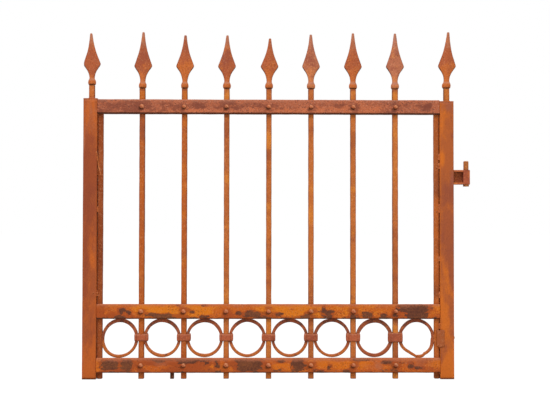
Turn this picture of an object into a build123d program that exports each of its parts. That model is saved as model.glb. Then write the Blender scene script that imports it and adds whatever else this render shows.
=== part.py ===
from build123d import *
from math import atan2, cos, degrees, hypot, pi, sin
import os

# A rusty wrought iron garden gate leaf, in millimetres, +Z up, front towards -Y.
# The origin is on the hinge pin's axis, at the shoulder under the pin's free end.

os.makedirs("parts", exist_ok=True)

# Uprights
picket_count = 7
picket_pitch = 115.3
# From the last picket to the bar beside a post
end_pitch = 112.5
bar_size = 14.0
bar_edge = 1.4
post_size = 38.0
post_wall = 3.0
post_corner = 2.5
post_inner_corner = 1.0
post_gap = 1.5
cap_thickness = 3.0
# How far each post ends above or below the top rail's upper edge
left_post_rise = 2.5
right_post_rise = -2.5

# Rails: flat bars in front of the uprights, heights are undersides above the feet
rail_height = 40.0
rail_thickness = 8.0
rail_edge = 0.8
bottom_rail_height = 17.5
middle_rail_height = 163.0
top_rail_height = 719.5
inner_bar_drop = 4.0

# Rivets through rail and picket
rivet_hole_radius = 3.4
rivet_play = 0.1
rivet_sides = 8
# Radius and height of each hammered step, from the seat outwards
rivet_head_steps = ((6.2, 0.0), (5.5, 2.2), (3.0, 4.2))
rivet_tail_steps = ((4.7, 0.0), (3.2, 2.4))

# Rings, hammered round in many flats, and the collars that strap them to the pickets
ring_sides = 40
ring_band = 8.2
ring_depth = 10.0
ring_bottom_gap = 3.4
ring_play = 0.05
dent_drop = 19.5
dent_foot_width = 17.0
dent_foot_gap = 0.4
dent_corner = 6.0
# From the left, the last two cut from wider strip
collar_heights = (20.0, 20.5, 20.5, 20.5, 20.5, 23.0, 27.0)
collar_strip = 2.4
collar_play = 0.1
collar_edge = 1.6
collar_seam = 1.2

# Spear heads, seated on the shouldered tops of the bars
spear_seat_height = 31.5
left_seat_height = 40.0
right_seat_height = 34.0
left_stem_inset = 2.2
right_stem_inset = -1.4
tenon_size = 7.0
tenon_length = 12.0
socket_play = 0.15
socket_end_play = 1.0
knuckle_sides = 12
# Radius and height above the seat of the hammered knuckle, from its foot to the neck
knuckle_steps = ((8.4, 0.0), (10.2, 3.5), (10.5, 8.5), (9.4, 14.0), (7.4, 19.0), (6.8, 25.0))
# Half width and height above the seat of the flare that opens from the neck to the barbs
flare_steps = ((6.8, 25.0), (9.2, 35.0), (13.0, 44.0), (18.6, 53.5))
barb_height = 61.0
# Share of the barbs' width that is left, and share of the way from the barbs to the tip
blade_steps = ((0.75, 0.18), (0.48, 0.37), (0.31, 0.55), (0.2, 0.72), (0.12, 0.9), (0.05, 1.0))
# Half width and half depth of the diamond that the blade is forged to before its outline is cut
diamond_half_width = 29.0
diamond_half_depth = 6.0
tip_thinning = 0.72
# From the left, forged by hand with no two alike: half width over the barbs, and height of the
# tip above the top rail's upper edge
spear_forms = (
    (22.9, 183.0),
    (23.6, 187.0),
    (23.8, 178.5),
    (23.6, 179.0),
    (23.4, 170.5),
    (23.6, 182.0),
    (23.6, 186.0),
    (24.0, 186.0),
    (23.8, 190.0),
)

# Hinge: a short channel on the right post carries a bored block that turns on the pin
hinge_height = 549.5
hinge_reach = 37.0
block_size = 18.5
block_edge = 1.5
barrel_length = 39.5
channel_depth = 22.0
channel_wall = 5.0
channel_root = 2.0
pin_radius = 7.0
pin_free_length = 24.5
pin_chamfer = 1.5
shank_radius = 5.0
bore_play = 0.05
end_play = 0.3
pin_head_radius = 8.0
pin_head_height = 5.0

# Small fittings
peg_size = 10.0
peg_offset = -262.0
peg_lap = 32.0
tie_width = 10.0
tie_height = 45.5
tie_lap = 11.0
tie_lip = 1.8
tie_middle_height = 110.0
weld_depth = 8.0
# Middle height and length of each weld bead between an inner bar and its post
left_welds = ((570.5, 32.0), (459.5, 12.0), (232.5, 12.0))
right_welds = ((603.5, 12.0), (578.5, 12.0), (462.5, 18.0), (226.5, 12.0), (142.5, 12.0))

# Places worked out from the sizes above
inner_bar_x = picket_pitch * (picket_count - 1) / 2 + end_pitch
post_inner_x = inner_bar_x + bar_size / 2 + post_gap
post_x = post_inner_x + post_size / 2
leaf_x = -(post_inner_x + post_size + hinge_reach)
foot_z = -(end_play + barrel_length / 2 + hinge_height)
front_y = -post_size / 2
bar_front_y = front_y + rail_thickness
bar_y = bar_front_y + bar_size / 2
bar_back_y = bar_front_y + bar_size
rail_top_z = foot_z + top_rail_height + rail_height
rail_middles = [
    foot_z + height + rail_height / 2
    for height in (bottom_rail_height, middle_rail_height, top_rail_height)
]
left_post_height = top_rail_height + rail_height + left_post_rise
right_post_height = top_rail_height + rail_height + right_post_rise
picket_xs = [leaf_x + picket_pitch * (i - (picket_count - 1) / 2) for i in range(picket_count)]
bar_xs = [leaf_x - inner_bar_x, *picket_xs, leaf_x + inner_bar_x]
# Middle and half width of each ring
rings = [
    ((left + right) / 2, (right - left - bar_size) / 2 - ring_play) for left, right in zip(bar_xs, bar_xs[1:])
]
ring_space = middle_rail_height - bottom_rail_height - rail_height
ring_half_height = (ring_space - ring_bottom_gap) / 2
ring_z = foot_z + middle_rail_height - ring_half_height
rivet_shank_radius = rivet_hole_radius - rivet_play


def save(name, piece):
    """Label a finished piece and write it as its own file."""
    piece.label = name
    export_step(piece, f"parts/{name}.step")


def front_plane(x, y, z):
    """A drawing plane that faces the viewer, with its own y axis up."""
    return Plane((x, y, z), x_dir=(1, 0, 0), z_dir=(0, -1, 0))


def make_post(name, x, height):
    """A square tube standing on its open foot."""
    with BuildPart() as post:
        with BuildSketch(Plane((x, 0, foot_z))):
            RectangleRounded(post_size, post_size, post_corner)
            bore = post_size - 2 * post_wall
            RectangleRounded(bore, bore, post_inner_corner, mode=Mode.SUBTRACT)
        extrude(amount=height - cap_thickness)
    save(name, post.part)


def make_cap(name, x, height):
    """The square plate that closes a post's top."""
    with BuildPart() as cap:
        with BuildSketch(Plane((x, 0, foot_z + height - cap_thickness))):
            RectangleRounded(post_size, post_size, post_corner)
        extrude(amount=cap_thickness)
    save(name, cap.part)


def make_rail(name, middle_z):
    """A flat bar from post to post, drilled for one rivet at each picket."""
    with BuildPart() as rail:
        with BuildSketch(front_plane(leaf_x, bar_front_y, middle_z)):
            Rectangle(2 * post_inner_x, rail_height)
            with GridLocations(picket_pitch, 0, picket_count, 1):
                RegularPolygon(rivet_hole_radius, rivet_sides, mode=Mode.SUBTRACT)
        extrude(amount=rail_thickness)
        long_edges = rail.edges().filter_by(Axis.X).filter_by(lambda edge: edge.length > picket_pitch)
        chamfer(long_edges, rail_edge)
    save(name, rail.part)


def make_bar(name, x, low_z, high_z, tenoned, hole_levels):
    """A square upright, tenoned for a spear head where one sits on it, drilled for rivets."""
    with BuildPart() as bar:
        with BuildSketch(Plane((x, bar_y, low_z))) as section:
            Rectangle(bar_size, bar_size)
            chamfer(section.vertices(), bar_edge)
        extrude(amount=high_z - low_z)
        if tenoned:
            with BuildSketch(Plane((x, bar_y, high_z))):
                Rectangle(tenon_size, tenon_size)
            extrude(amount=tenon_length)
        for level in hole_levels:
            with BuildSketch(front_plane(x, bar_back_y, level)):
                RegularPolygon(rivet_hole_radius, rivet_sides)
            extrude(amount=bar_size, mode=Mode.SUBTRACT)
    save(name, bar.part)


def make_spear(name, x, seat_z, barb_half_width, tip_z):
    """A forged head: hammered knuckle, neck, barbed diamond blade, blind socket below."""
    neck_height = flare_steps[0][1]
    blade_length = tip_z - seat_z - barb_height
    outline = [*flare_steps, (barb_half_width, barb_height)]
    for width_left, share in blade_steps:
        outline.append((width_left * barb_half_width, barb_height + share * blade_length))
    other_side = [(-half_width, height) for half_width, height in reversed(outline)]
    with BuildPart() as spear:
        with BuildSketch(Plane((x, bar_y, seat_z + barb_height))) as diamond:
            Polygon(
                (diamond_half_width, 0),
                (0, diamond_half_depth),
                (-diamond_half_width, 0),
                (0, -diamond_half_depth),
                align=None,
            )
        extrude(amount=neck_height - barb_height)
        thinning = degrees(atan2(tip_thinning * diamond_half_depth, blade_length))
        extrude(diamond.sketch, amount=blade_length, taper=thinning)
        with BuildSketch(front_plane(x, bar_y, seat_z)):
            Polygon(*outline, *other_side, align=None)
        extrude(amount=diamond_half_depth, both=True, mode=Mode.INTERSECT)
        for (low_radius, low), (high_radius, high) in zip(knuckle_steps, knuckle_steps[1:]):
            with BuildSketch(Plane((x, bar_y, seat_z + low))):
                RegularPolygon(low_radius, knuckle_sides, major_radius=False)
            extrude(amount=high - low, taper=degrees(atan2(low_radius - high_radius, high - low)))
        with BuildSketch(Plane((x, bar_y, seat_z))):
            Rectangle(tenon_size + 2 * socket_play, tenon_size + 2 * socket_play)
        extrude(amount=tenon_length + socket_end_play, mode=Mode.SUBTRACT)
    save(name, spear.part)


def hoop_outline(half_width):
    """Corners of a hoop's outer flats, from the right upwards and round, with a flat at each side."""
    corner_stretch = 1 / cos(pi / ring_sides)
    turns = [2 * pi * (i + 0.5) / ring_sides for i in range(ring_sides)]
    return [
        (half_width * corner_stretch * cos(turn), ring_half_height * corner_stretch * sin(turn))
        for turn in turns
    ]


def hoop_inner_x(half_width, height):
    """How far from its middle a hoop's inner side is at a height above that middle."""
    corners = hoop_outline(half_width)
    reaches = []
    for (low_x, low), (high_x, high) in zip(corners, corners[1:] + corners[:1]):
        if high > low:
            slant = hypot(high_x - low_x, high - low) / (high - low)
            outer_x = low_x + (high_x - low_x) * (height - low) / (high - low)
            reaches.append(outer_x - ring_band * slant)
    return min(reaches)


def make_ring(name, x, half_width):
    """A hammered hoop, a little taller than wide, that fills the space between two bars."""
    with BuildPart() as ring:
        with BuildSketch(front_plane(x, bar_y, ring_z)):
            Polygon(*hoop_outline(half_width), align=None)
            offset(amount=-ring_band, mode=Mode.SUBTRACT)
        extrude(amount=ring_depth / 2, both=True)
    save(name, ring.part)


def make_dented_ring(name, x, half_width):
    """The hoop that was knocked into a blunt point at its foot."""
    foot = ring_half_height + ring_bottom_gap - dent_foot_gap
    with BuildPart() as ring:
        with BuildSketch(front_plane(x, bar_y, ring_z)) as outline:
            Polygon(
                *[corner for corner in hoop_outline(half_width) if corner[1] > 0],
                (-half_width, -dent_drop),
                (-dent_foot_width / 2, -foot),
                (dent_foot_width / 2, -foot),
                (half_width, -dent_drop),
                align=None,
            )
            chamfer(outline.vertices().filter_by_position(Axis.Y, -foot, -dent_drop), dent_corner)
            offset(amount=-ring_band, mode=Mode.SUBTRACT)
        extrude(amount=ring_depth / 2, both=True)
    save(name, ring.part)


def make_collar(name, x, height, hoops):
    """A strap bent round a picket and the two hoops beside it, with its seam at the back."""
    reaches = [abs(ring_x - x) - hoop_inner_x(half_width, height / 2) for ring_x, half_width in hoops]
    cavity_width = 2 * (max(reaches) + collar_play)
    cavity_depth = bar_size + 2 * collar_play
    with BuildPart() as collar:
        with BuildSketch(Plane((x, bar_y, ring_z - height / 2))) as strap:
            Rectangle(cavity_width + 2 * collar_strip, cavity_depth + 2 * collar_strip)
            chamfer(strap.vertices(), collar_edge)
            Rectangle(cavity_width, cavity_depth, mode=Mode.SUBTRACT)
            with Locations((0, cavity_depth / 2 + collar_strip / 2)):
                Rectangle(collar_seam, 2 * collar_strip, mode=Mode.SUBTRACT)
        extrude(amount=height)
    save(name, collar.part)


def make_rivets(name, middle_z):
    """The row of hammered rivets that holds one rail to its pickets."""
    with BuildPart() as rivets:
        for x in picket_xs:
            with BuildSketch(front_plane(x, bar_back_y, middle_z)):
                RegularPolygon(rivet_shank_radius, rivet_sides)
            extrude(amount=rail_thickness + bar_size)
            for (low_radius, low), (high_radius, high) in zip(rivet_head_steps, rivet_head_steps[1:]):
                with BuildSketch(front_plane(x, front_y - low, middle_z)):
                    RegularPolygon(low_radius, rivet_sides, major_radius=False)
                extrude(amount=high - low, taper=degrees(atan2(low_radius - high_radius, high - low)))
            for (low_radius, low), (high_radius, high) in zip(rivet_tail_steps, rivet_tail_steps[1:]):
                with BuildSketch(Plane((x, bar_back_y + low, middle_z), x_dir=(1, 0, 0), z_dir=(0, 1, 0))):
                    RegularPolygon(low_radius, rivet_sides, major_radius=False)
                extrude(amount=high - low, taper=degrees(atan2(low_radius - high_radius, high - low)))
    save(name, rivets.part)


def make_welds(name, side, beads):
    """Weld beads that bridge the slit between an inner bar and its post."""
    slit_x = leaf_x + side * (post_inner_x - post_gap / 2)
    with BuildPart() as welds:
        for middle_height, length in beads:
            with BuildSketch(front_plane(slit_x, bar_y, foot_z + middle_height)):
                Rectangle(post_gap, length)
            extrude(amount=weld_depth / 2, both=True)
    save(name, welds.part)


# Frame: posts, caps, rails and the bars beside the posts
make_post("left_post", leaf_x - post_x, left_post_height)
make_post("right_post", leaf_x + post_x, right_post_height)
make_cap("left_post_cap", leaf_x - post_x, left_post_height)
make_cap("right_post_cap", leaf_x + post_x, right_post_height)
for rail_name, middle in zip(("bottom_rail", "middle_rail", "top_rail"), rail_middles):
    make_rail(rail_name, middle)
make_bar("left_inner_bar", leaf_x - inner_bar_x, foot_z, rail_top_z - inner_bar_drop, False, ())
make_bar("right_inner_bar", leaf_x + inner_bar_x, foot_z, rail_top_z - inner_bar_drop, False, ())

# Pickets, the short stems on the posts, and a spear head on each
left_stem_x = leaf_x - post_x + left_stem_inset
right_stem_x = leaf_x + post_x - right_stem_inset
inner_seat_z = rail_top_z + spear_seat_height
left_seat_z = rail_top_z + left_seat_height
right_seat_z = rail_top_z + right_seat_height
for number, bar_x in enumerate(picket_xs, 1):
    make_bar(f"picket_{number}", bar_x, foot_z, inner_seat_z, True, rail_middles)
make_bar("left_stem", left_stem_x, foot_z + left_post_height, left_seat_z, True, ())
make_bar("right_stem", right_stem_x, foot_z + right_post_height, right_seat_z, True, ())
seats = [left_seat_z] + [inner_seat_z] * picket_count + [right_seat_z]
spear_xs = [left_stem_x] + picket_xs + [right_stem_x]
for number, (spear_x, seat, form) in enumerate(zip(spear_xs, seats, spear_forms), 1):
    barb_half_width, tip_height = form
    make_spear(f"spear_{number}", spear_x, seat, barb_half_width, rail_top_z + tip_height)

# Rings, collars and rivets
for number, (ring_x, half_width) in enumerate(rings[:-1], 1):
    make_ring(f"ring_{number}", ring_x, half_width)
make_dented_ring(f"ring_{len(rings)}", *rings[-1])
for number, (bar_x, height) in enumerate(zip(picket_xs, collar_heights), 1):
    make_collar(f"collar_{number}", bar_x, height, rings[number - 1 : number + 1])
for row, middle in zip(("bottom", "middle", "top"), rail_middles):
    make_rivets(f"{row}_rivets", middle)

# Weld beads
make_welds("left_welds", -1, left_welds)
make_welds("right_welds", 1, right_welds)

# Tie plate: fills the step between the right inner bar and its post, and laps onto the post's face
with BuildPart() as tie_plate:
    tie_x = leaf_x + post_inner_x
    tie_z = foot_z + tie_middle_height
    with BuildSketch(front_plane(tie_x - tie_width / 2, bar_front_y, tie_z)):
        Rectangle(tie_width, tie_height)
    extrude(amount=rail_thickness + tie_lip)
    with BuildSketch(front_plane(tie_x + tie_lap / 2, front_y, tie_z)):
        Rectangle(tie_lap, tie_height)
    extrude(amount=tie_lip)
save("tie_plate", tie_plate.part)

# Peg behind the bottom rail
with BuildPart() as stop_peg:
    peg_y = bar_front_y + peg_size / 2
    with BuildSketch(Plane((leaf_x + peg_offset, peg_y, foot_z))):
        RectangleRounded(peg_size, peg_size, bar_edge)
    extrude(amount=bottom_rail_height + peg_lap)
save("stop_peg", stop_peg.part)

# Hinge bracket: a channel lying on its side, open to the front
barrel_middle_z = -(end_play + barrel_length / 2)
channel_length = hinge_reach - block_size / 2
with BuildPart() as hinge_bracket:
    with BuildSketch(Plane((-hinge_reach, 0, barrel_middle_z), x_dir=(0, 1, 0), z_dir=(1, 0, 0))) as channel:
        Rectangle(channel_depth, barrel_length)
        with Locations((-channel_wall / 2, 0)):
            Rectangle(
                channel_depth - channel_wall, barrel_length - 2 * channel_wall, mode=Mode.SUBTRACT
            )
        root_y = channel_depth / 2 - channel_wall
        fillet(channel.vertices().filter_by_position(Axis.X, root_y - 1, root_y + 1), channel_root)
    extrude(amount=channel_length)
save("hinge_bracket", hinge_bracket.part)

# Hinge block: bored through for the pin
with BuildPart() as hinge_block:
    with BuildSketch(Plane((0, 0, -end_play - barrel_length))):
        RectangleRounded(block_size, block_size, block_edge)
        Circle(shank_radius + bore_play, mode=Mode.SUBTRACT)
    extrude(amount=barrel_length)
save("hinge_block", hinge_block.part)

# Hinge pin: free end above, shank in the block, hammered head below
with BuildPart() as hinge_pin:
    with BuildSketch():
        Circle(pin_radius)
    extrude(amount=pin_free_length)
    chamfer(hinge_pin.faces().sort_by(Axis.Z)[-1].edges(), pin_chamfer)
    with BuildSketch():
        Circle(shank_radius)
    extrude(amount=-(barrel_length + 2 * end_play))
    with BuildSketch(Plane.XY.offset(-(barrel_length + 2 * end_play))):
        Circle(pin_head_radius)
    extrude(amount=-pin_head_height)
save("hinge_pin", hinge_pin.part)
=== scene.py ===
"""Looks of a rusty wrought iron gate leaf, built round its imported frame."""

import logging
import math
import random
from collections.abc import Callable, Iterable, Mapping
from dataclasses import dataclass, field
from enum import Enum
from typing import Any, NamedTuple

import bmesh
import bpy
from mathutils import Matrix, Vector, noise


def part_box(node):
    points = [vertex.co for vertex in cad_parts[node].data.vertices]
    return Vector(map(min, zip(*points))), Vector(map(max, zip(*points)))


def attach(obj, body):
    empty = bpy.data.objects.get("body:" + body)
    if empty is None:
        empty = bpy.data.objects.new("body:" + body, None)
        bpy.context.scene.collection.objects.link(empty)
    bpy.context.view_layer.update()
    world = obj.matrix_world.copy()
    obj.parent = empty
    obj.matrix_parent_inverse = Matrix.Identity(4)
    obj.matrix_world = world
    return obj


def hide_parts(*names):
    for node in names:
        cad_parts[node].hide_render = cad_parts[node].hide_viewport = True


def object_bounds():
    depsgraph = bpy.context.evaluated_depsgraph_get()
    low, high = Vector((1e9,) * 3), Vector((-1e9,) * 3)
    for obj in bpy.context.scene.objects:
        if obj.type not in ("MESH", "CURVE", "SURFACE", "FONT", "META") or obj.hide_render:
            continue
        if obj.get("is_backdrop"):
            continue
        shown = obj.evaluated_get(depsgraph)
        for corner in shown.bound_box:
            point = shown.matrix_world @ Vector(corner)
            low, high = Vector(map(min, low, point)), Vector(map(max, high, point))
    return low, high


LOG = logging.getLogger("gate")
MM = 0.001
UP = Vector((0.0, 0.0, 1.0))
WHITE = (1.0, 1.0, 1.0, 1.0)
LEAF = "leaf"
PICKETS = range(1, 8)
SPEARS = range(1, 10)
RINGS = range(1, 9)

Colour = tuple[float, float, float]
Mesh = bmesh.types.BMesh
Edge = bmesh.types.BMEdge
Vertex = bmesh.types.BMVert
Cover = Callable[[Vector], float]

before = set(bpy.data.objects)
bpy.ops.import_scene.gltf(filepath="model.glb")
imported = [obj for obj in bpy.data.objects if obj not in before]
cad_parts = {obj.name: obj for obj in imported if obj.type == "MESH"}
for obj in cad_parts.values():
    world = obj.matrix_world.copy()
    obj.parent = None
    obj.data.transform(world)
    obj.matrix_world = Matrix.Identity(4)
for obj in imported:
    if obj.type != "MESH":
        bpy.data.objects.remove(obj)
CAD_BOX = [Vector(corner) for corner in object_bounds()]


def rgb(red: int, green: int, blue: int) -> Colour:
    """Turn a colour on a screen's scale of 0 to 255 into linear red, green and blue."""
    shares = (value / 255 for value in (red, green, blue))
    return tuple(s / 12.92 if s <= 0.04045 else ((s + 0.055) / 1.055) ** 2.4 for s in shares)


class Slot(Enum):
    """Material slots of the record."""

    POST = "rust_post"
    RAIL = "rust_rail"
    BAR = "rust_bar"
    SPEAR = "rust_spear"
    RING = "rust_ring"
    COLLAR = "rust_collar"
    RIVET = "rust_rivet"
    HINGE = "rust_hinge"
    WELD = "rust_weld"


class Side(Enum):
    """The two sides of the leaf, as signs along X."""

    LEFT = -1
    RIGHT = 1

    @property
    def word(self) -> str:
        """The side as the frame's nodes spell it."""
        return self.name.lower()


class Layer(Enum):
    """Layers painted on a mesh: old scale, deeper rust, fresh rust, rubbed places and painted shade; the
    first four also carry painted shade, shadow, light and highlights in places.
    """

    SCALE = "scale"
    STAIN = "stain"
    GLOW = "glow"
    WEAR = "wear"
    SOOT = "soot"


@dataclass(frozen=True)
class Span:
    """The box that a frame node fills."""

    low: Vector  # lowest corner
    high: Vector  # highest corner

    @classmethod
    def of(cls, node: str) -> "Span":
        """Return the box of a frame node."""
        return cls(*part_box(node))

    @property
    def middle(self) -> Vector:
        """Centre of the box."""
        return (self.low + self.high) / 2

    @property
    def size(self) -> Vector:
        """Length of the box along each axis."""
        return self.high - self.low


class Signal:
    """An output socket whose arithmetic adds Math nodes to its tree."""

    def __init__(self, shader: "ShaderTree", socket: bpy.types.NodeSocket) -> None:
        """Keep the socket and the tree that it belongs to."""
        self.shader = shader
        self.socket = socket

    def _math(self, operation: str, first: Any, second: Any) -> "Signal":
        """Add one Math node."""
        return self.shader.add("ShaderNodeMath", {"operation": operation}, {0: first, 1: second})

    def __add__(self, other: Any) -> "Signal":
        """Sum."""
        return self._math("ADD", self, other)

    __radd__ = __add__

    def __sub__(self, other: Any) -> "Signal":
        """Difference."""
        return self._math("SUBTRACT", self, other)

    def __rsub__(self, other: Any) -> "Signal":
        """Difference from a number."""
        return self._math("SUBTRACT", other, self)

    def __mul__(self, other: Any) -> "Signal":
        """Product."""
        return self._math("MULTIPLY", self, other)

    __rmul__ = __mul__

    def highest(self, other: Any) -> "Signal":
        """The larger of two values."""
        return self._math("MAXIMUM", self, other)

    def swing(self) -> "Signal":
        """Noise that is 0 on average, where this signal is noise of 0.5 on average."""
        return self - 0.5

    def share(self, part: float, softness: float = 0.05) -> "Signal":
        """A soft mask that covers about a given part of a surface, where this signal is noise."""
        edge = 0.5 + (0.5 - part) * 0.25
        return self.step(edge - softness, edge + softness)

    def step(self, start: float, end: float) -> "Signal":
        """A soft step from 0 at start to 1 at end."""
        limits = {"Value": self, "From Min": start, "From Max": end}
        return self.shader.add("ShaderNodeMapRange", {"interpolation_type": "SMOOTHSTEP"}, limits)


class ShaderTree:
    """A node tree that is filled through one method."""

    def __init__(self, owner: bpy.types.Material | bpy.types.World) -> None:
        """Give the owner an empty tree and keep it.

        Args:
            owner: The material or world whose tree it is.
        """
        owner.use_nodes = True
        self.tree = owner.node_tree
        self.tree.nodes.clear()

    def add(
        self,
        kind: str,
        settings: dict[str, Any] | None = None,
        inputs: dict[str | int, Any] | None = None,
        output: str | int = 0,
    ) -> Signal | None:
        """Add a node.

        Args:
            kind: The node's type.
            settings: Properties to set before its sockets.
            inputs: Values or signals for its input sockets.
            output: The output socket that is wanted.

        Returns:
            That output as a signal, or None for a node without outputs.
        """
        node = self.tree.nodes.new(kind)
        for key, value in (settings or {}).items():
            setattr(node, key, value)
        for key, value in (inputs or {}).items():
            if isinstance(value, Signal):
                self.tree.links.new(value.socket, node.inputs[key])
            else:
                node.inputs[key].default_value = value
        return Signal(self, node.outputs[output]) if node.outputs else None

    def noise(self, place: Signal, scale: float, detail: float = 4.0, roughness: float = 0.6) -> Signal:
        """Return noise of so many lumps to the metre, about 0.5 on average."""
        sockets = {"Vector": place, "Scale": scale, "Detail": detail, "Roughness": roughness}
        return self.add("ShaderNodeTexNoise", None, sockets)

    def cells(self, place: Signal, scale: float, output: str) -> Signal:
        """Return the distance from, or the chance colour of, cells of so many to the metre."""
        sockets = {"Vector": place, "Scale": scale}
        return self.add("ShaderNodeTexVoronoi", {"feature": "F1"}, sockets, output)

    def attribute(self, layer: Layer) -> Signal:
        """Return a layer that is painted on the mesh, 0 where there is none."""
        return self.add("ShaderNodeAttribute", {"attribute_name": layer.value}, None, "Fac")

    def blend(self, factor: Signal | float, first: Signal | Colour, second: Signal | Colour) -> Signal:
        """Mix two colours, from the first at a factor of 0 to the second at 1."""
        first, second = (c if isinstance(c, Signal) else (*c, 1.0) for c in (first, second))
        return self.add("ShaderNodeMix", {"data_type": "RGBA"}, {0: factor, 6: first, 7: second}, 2)


@dataclass(frozen=True)
class Grain:
    """The noises that a finish is drawn with."""

    broad: Signal  # clouds about a hand wide
    fresh: Signal  # clouds about two fingers wide
    mottle: Signal  # blotches of a fingertip
    speckle: Signal  # specks of a few millimetres
    fine: Signal  # grain of about two millimetres
    flake: Signal  # a chance value for each jagged flake
    pits: Signal  # 1 in the surface's pits

    @classmethod
    def draw(cls, tree: ShaderTree, streak: tuple[float, float, float]) -> "Grain":
        """Add the noises to a tree.

        Args:
            tree: The tree to add them to.
            streak: Stretch of the broader ones along each axis.

        Returns:
            The noises.
        """
        place = tree.add("ShaderNodeTexCoord", output="Object")
        drawn = tree.add("ShaderNodeMapping", None, {"Vector": place, "Scale": streak})
        shifted = tree.add("ShaderNodeMapping", None, {"Vector": drawn, "Location": (3.7, 1.9, 5.3)})
        mottle = tree.noise(drawn, 62.0, 5.0, 0.66)
        wobble = tree.add("ShaderNodeTexNoise", None, {"Vector": place, "Scale": 150.0}, "Color")
        reach = (5 * MM, 5 * MM, 5 * MM)
        nudge = {0: wobble, 1: reach, 2: drawn}
        jagged = tree.add("ShaderNodeVectorMath", {"operation": "MULTIPLY_ADD"}, nudge)
        hollow = tree.cells(place, 190.0, "Distance") + mottle.swing() * 1.2
        return cls(
            broad=tree.noise(drawn, 8.0, 2.0),
            fresh=tree.noise(shifted, 24.0, 5.0, 0.62),
            mottle=mottle,
            speckle=tree.noise(place, 210.0, 3.0, 0.7),
            fine=tree.noise(place, 520.0, 2.0),
            flake=tree.cells(jagged, 130.0, "Color"),
            pits=1.0 - hollow.step(0.1, 0.3),
        )


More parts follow.
